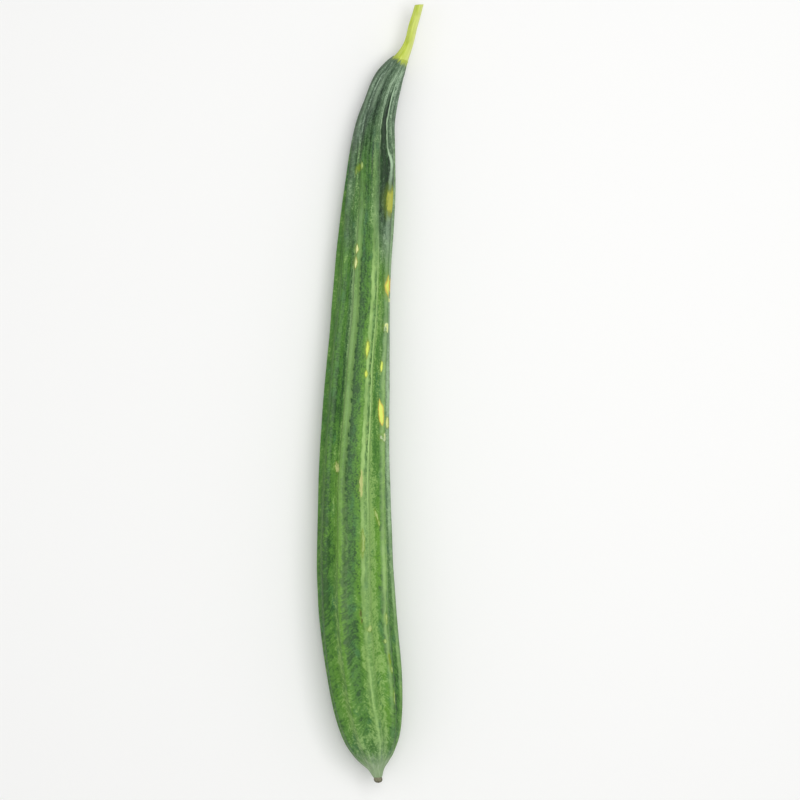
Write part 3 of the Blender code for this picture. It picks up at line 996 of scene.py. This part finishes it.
def scarMaterial():
    look = scarLook
    material, shader = newMaterial("dry flower")
    tree = material.node_tree
    turns, along = mapPair(tree, "wrap")
    place = useGroup(tree, wrapPlace, turns=turns, along=along, radius=look["radius"])["place"]
    fibres = mottled(tree, place, *look["fibres"])
    broad = mottled(tree, place, *look["broad"])
    colour = blend(tree, look["dry"], look["pale"], calc(tree, "MULTIPLY", fibres, 0.5))
    colour = blend(tree, colour, look["dark"], calc(tree, "MULTIPLY", broad, 0.7))
    end = ease(tree, along, *look["endAt"])
    colour = blend(tree, colour, look["dark"], calc(tree, "MULTIPLY", end, 0.6))
    feed(tree, shader.inputs["Base Color"], colour)
    feed(tree, shader.inputs["Roughness"], calc(tree, "MULTIPLY_ADD", fibres, -0.1, look["roughness"]))
    addBump(tree, shader, fibres, look["relief"] * mm)
    return material


def dress():
    # each piece replaces its solid; together they stand where the solids' box has its middle
    fruit, stalk, scar = makeFruit(), makeStalk(), makeFlowerScar()
    low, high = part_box("fruit")
    own = np.array([v.co for v in fruit.data.vertices])
    shift = Vector(((low.x + high.x) / 2, (low.y + high.y) / 2, 0))
    shift -= Vector(((own[:, 0].min() + own[:, 0].max()) / 2, (own[:, 1].min() + own[:, 1].max()) / 2, 0))
    plan = ((fruit, skinMaterial(), "fruit", "fruit_skin"), (stalk, stalkMaterial(), "stalk", "stalk"),
            (scar, scarMaterial(), "flower_scar", "dry_flower"))
    for piece, material, node, slot in plan:
        piece.data.transform(Matrix.Translation(shift))
        piece.data.materials.append(material)
        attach(piece, "root")
        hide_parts(node)
    return shift


shift = dress()
print("stage 3: gourd dressed")

# in metres, apart from the camera's aim
studio = {
    "floorSize": 6.0,
    "floorTone": (0.93, 0.93, 0.92, 1),
    "floorRoughness": 0.9,
    "skyTone": (1.0, 1.0, 1.0, 1),
    "skyStrength": 0.45,
    "keyPlace": (0.35, 0.15, 1.5),
    "keySize": 1.0,
    "keyPower": 13.0,
    "fillPlace": (-0.5, -0.1, 1.4),
    "fillSize": 1.6,
    "fillPower": 4.0,
    "cameraAway": 2.2,
    "frameWidth": 0.5,
    "aimHeight": 0.023,
    "aimAcross": 14.7,  # mm to the right of the blossom end's line
    "aimAlong": -213.75,  # mm from the foot of the stalk
}


def makeStudio():
    bpy.ops.mesh.primitive_plane_add(size=studio["floorSize"])
    floor = bpy.context.object
    floor.name = "studioFloor"
    material, shader = newMaterial("pale floor")
    shader.inputs["Base Color"].default_value = studio["floorTone"]
    shader.inputs["Roughness"].default_value = studio["floorRoughness"]
    floor.data.materials.append(material)
    world = bpy.data.worlds.new("soft studio")
    bpy.context.scene.world = world
    world.use_nodes = True
    sky = world.node_tree.nodes["Background"]
    sky.inputs["Color"].default_value = studio["skyTone"]
    sky.inputs["Strength"].default_value = studio["skyStrength"]
    for name in ("key", "fill"):
        lamp = bpy.data.lights.new(name + "Light", "AREA")
        lamp.size = studio[name + "Size"]
        lamp.energy = studio[name + "Power"]
        light = bpy.data.objects.new(name + "Light", lamp)
        light.location = studio[name + "Place"]
        light.rotation_euler = (-light.location).to_track_quat("-Z", "Y").to_euler()
        bpy.context.scene.collection.objects.link(light)


def makeCamera():
    lens = bpy.data.cameras.new("topCamera")
    lens.lens = lens.sensor_width * studio["cameraAway"] / studio["frameWidth"]
    camera = bpy.data.objects.new("topCamera", lens)
    aim = shift + Vector((studio["aimAcross"] * mm, studio["aimAlong"] * mm, 0))
    camera.location = (aim.x, aim.y, studio["aimHeight"] + studio["cameraAway"])
    camera.rotation_euler = (0, 0, 0)  # straight down
    bpy.context.scene.collection.objects.link(camera)
    bpy.context.scene.camera = camera


makeStudio()
makeCamera()
bpy.context.scene.view_settings.view_transform = "Standard"
print("stage 4: studio ready")
